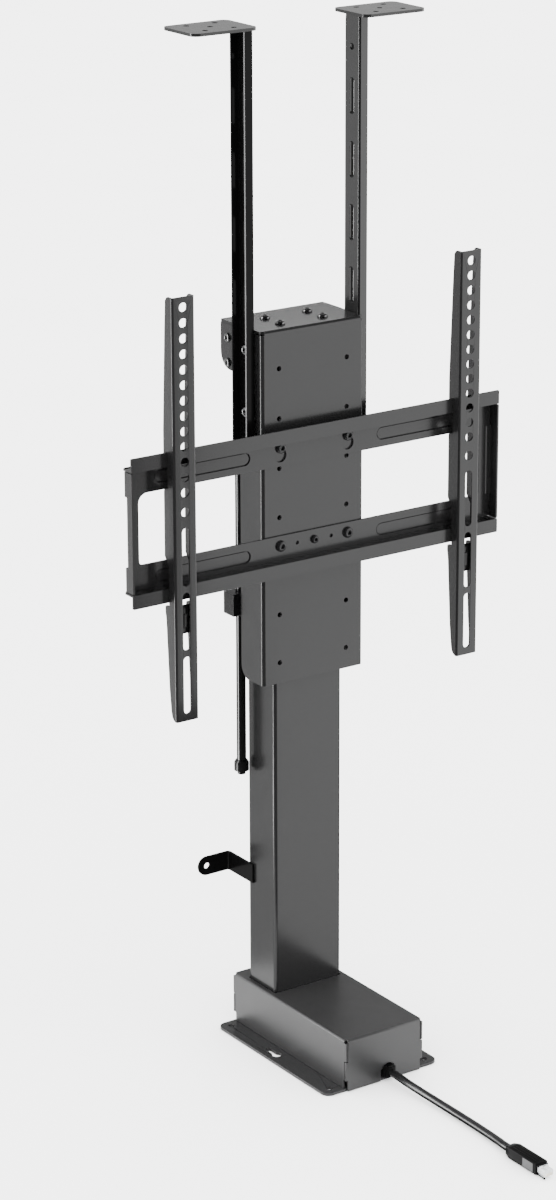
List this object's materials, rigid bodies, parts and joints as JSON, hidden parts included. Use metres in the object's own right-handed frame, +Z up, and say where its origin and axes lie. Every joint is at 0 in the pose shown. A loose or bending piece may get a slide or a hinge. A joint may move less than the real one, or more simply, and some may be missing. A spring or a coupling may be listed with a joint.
{
  "type": "tv lift mechanism",
  "caption": "Electric telescoping column on a flat base that raises a crossbar with hooked screen arms and two slotted lid bars, with a corded control plug.",
  "frame": {"origin": "underside of the base plate, in the middle of its four fixing holes", "axes": "+Z up along the column; -Y towards the screen side; +X to the right when seen from the screen side"},
  "size_m": [0.436, 0.475, 1.048],
  "materials": {
    "powder_coat": "satin dark grey powder coat",
    "black_hardware": "gloss black",
    "zinc_steel": "zinc plated",
    "bright_steel": "ground",
    "bronze": "machined",
    "die_cast": "cast",
    "black_plastic": "moulded",
    "glide_plastic": "moulded",
    "cord_jacket": "smooth jacket",
    "clear_plastic": "clear moulded",
    "board": "coated"
  },
  "bodies": {
    "base": {"base_plate": "powder_coat", "base_housing": "powder_coat", "housing_screws": "black_hardware", "outer_column": "powder_coat", "column_foot": "zinc_steel", "foot_screws": "black_hardware", "column_collar": "black_plastic", "column_glide": "glide_plastic", "wall_bracket": "powder_coat", "cable_gland": "black_plastic", "control_cord": "cord_jacket", "cord_plug": "black_plastic", "plug_insert": "clear_plastic", "motor": "zinc_steel", "motor_clamp": "zinc_steel", "clamp_screws": "black_hardware", "gearbox_body": "die_cast", "gearbox_lid": "die_cast", "gearbox_screws": "black_hardware", "spindle_bearing": "bright_steel", "control_board": "board"},
    "lower_screw": {"lower_spindle": "bright_steel", "worm_wheel": "bronze"},
    "worm": {"worm_shaft": "bright_steel"},
    "middle_stage": {"mid_tube": "powder_coat", "mid_foot_glide": "glide_plastic", "mid_top_glide": "glide_plastic", "lower_nut": "bronze", "spindle_retainer": "zinc_steel"},
    "upper_screw": {"upper_spindle": "bright_steel"},
    "carriage": {"inner_tube": "powder_coat", "inner_foot_glide": "glide_plastic", "upper_nut": "bronze", "inner_head": "zinc_steel", "cap_screws": "black_hardware", "carriage_plate": "powder_coat", "crossbar": "powder_coat", "crossbar_upper_screws": "black_hardware", "crossbar_lower_screws": "black_hardware", "rod_head_left": "black_plastic", "rod_head_right": "black_plastic", "ear_screws_left": "black_hardware", "ear_screws_right": "black_hardware", "guide_rod_left": "powder_coat", "guide_rod_right": "powder_coat", "guide_block_left": "black_plastic", "guide_block_right": "black_plastic", "rod_bumper_left": "black_plastic", "rod_bumper_right": "black_plastic", "lid_bar_screws_left": "black_hardware", "lid_bar_screws_right": "black_hardware"},
    "lid_support_left": {"lid_bar_left": "powder_coat", "lid_plate_left": "powder_coat"},
    "lid_support_right": {"lid_bar_right": "powder_coat", "lid_plate_right": "powder_coat"},
    "screen_arm_left": {"arm_left": "powder_coat"},
    "screen_arm_right": {"arm_right": "powder_coat"}
  },
  "joints": [
    {"name": "lower_stage_lift", "type": "slide", "parent": "base", "child": "middle_stage", "axis": [0, 0, 1], "range_m": [0, 0.35]},
    {"name": "upper_stage_lift", "type": "slide", "parent": "middle_stage", "child": "carriage", "axis": [0, 0, 1], "range_m": [0, 0.35]},
    {"name": "lower_spindle_turn", "type": "hinge", "parent": "base", "child": "lower_screw", "pos_m": [0, 0.057, 0.05], "axis": [0, 0, 1], "range_deg": [-10501, 0]},
    {"name": "upper_spindle_turn", "type": "hinge", "parent": "middle_stage", "child": "upper_screw", "pos_m": [0, 0.057, 0.1], "axis": [0, 0, 1], "range_deg": [-10501, 0]},
    {"name": "worm_turn", "type": "hinge", "parent": "base", "child": "worm", "pos_m": [-0.019, 0.057, 0.02], "axis": [0, 1, 0], "range_deg": [-105010, 0]},
    {"name": "lid_support_left_height", "type": "slide", "parent": "carriage", "child": "lid_support_left", "axis": [0, 0, 1], "range_m": [0, 0.029]},
    {"name": "lid_support_right_height", "type": "slide", "parent": "carriage", "child": "lid_support_right", "axis": [0, 0, 1], "range_m": [0, 0.029]},
    {"name": "arm_left_slide", "type": "slide", "parent": "carriage", "child": "screen_arm_left", "axis": [1, 0, 0], "range_m": [-0.0345, 0.1155]},
    {"name": "arm_right_slide", "type": "slide", "parent": "carriage", "child": "screen_arm_right", "axis": [1, 0, 0], "range_m": [-0.122, 0.028]}
  ],
  "couplings": [
    {"joint": "upper_stage_lift", "follows": "lower_stage_lift", "ratio": 1},
    {"joint": "lower_spindle_turn", "follows": "lower_stage_lift", "rad_per_m": -523.6},
    {"joint": "upper_spindle_turn", "follows": "lower_stage_lift", "rad_per_m": -523.6},
    {"joint": "worm_turn", "follows": "lower_stage_lift", "rad_per_m": -5236}
  ]
}
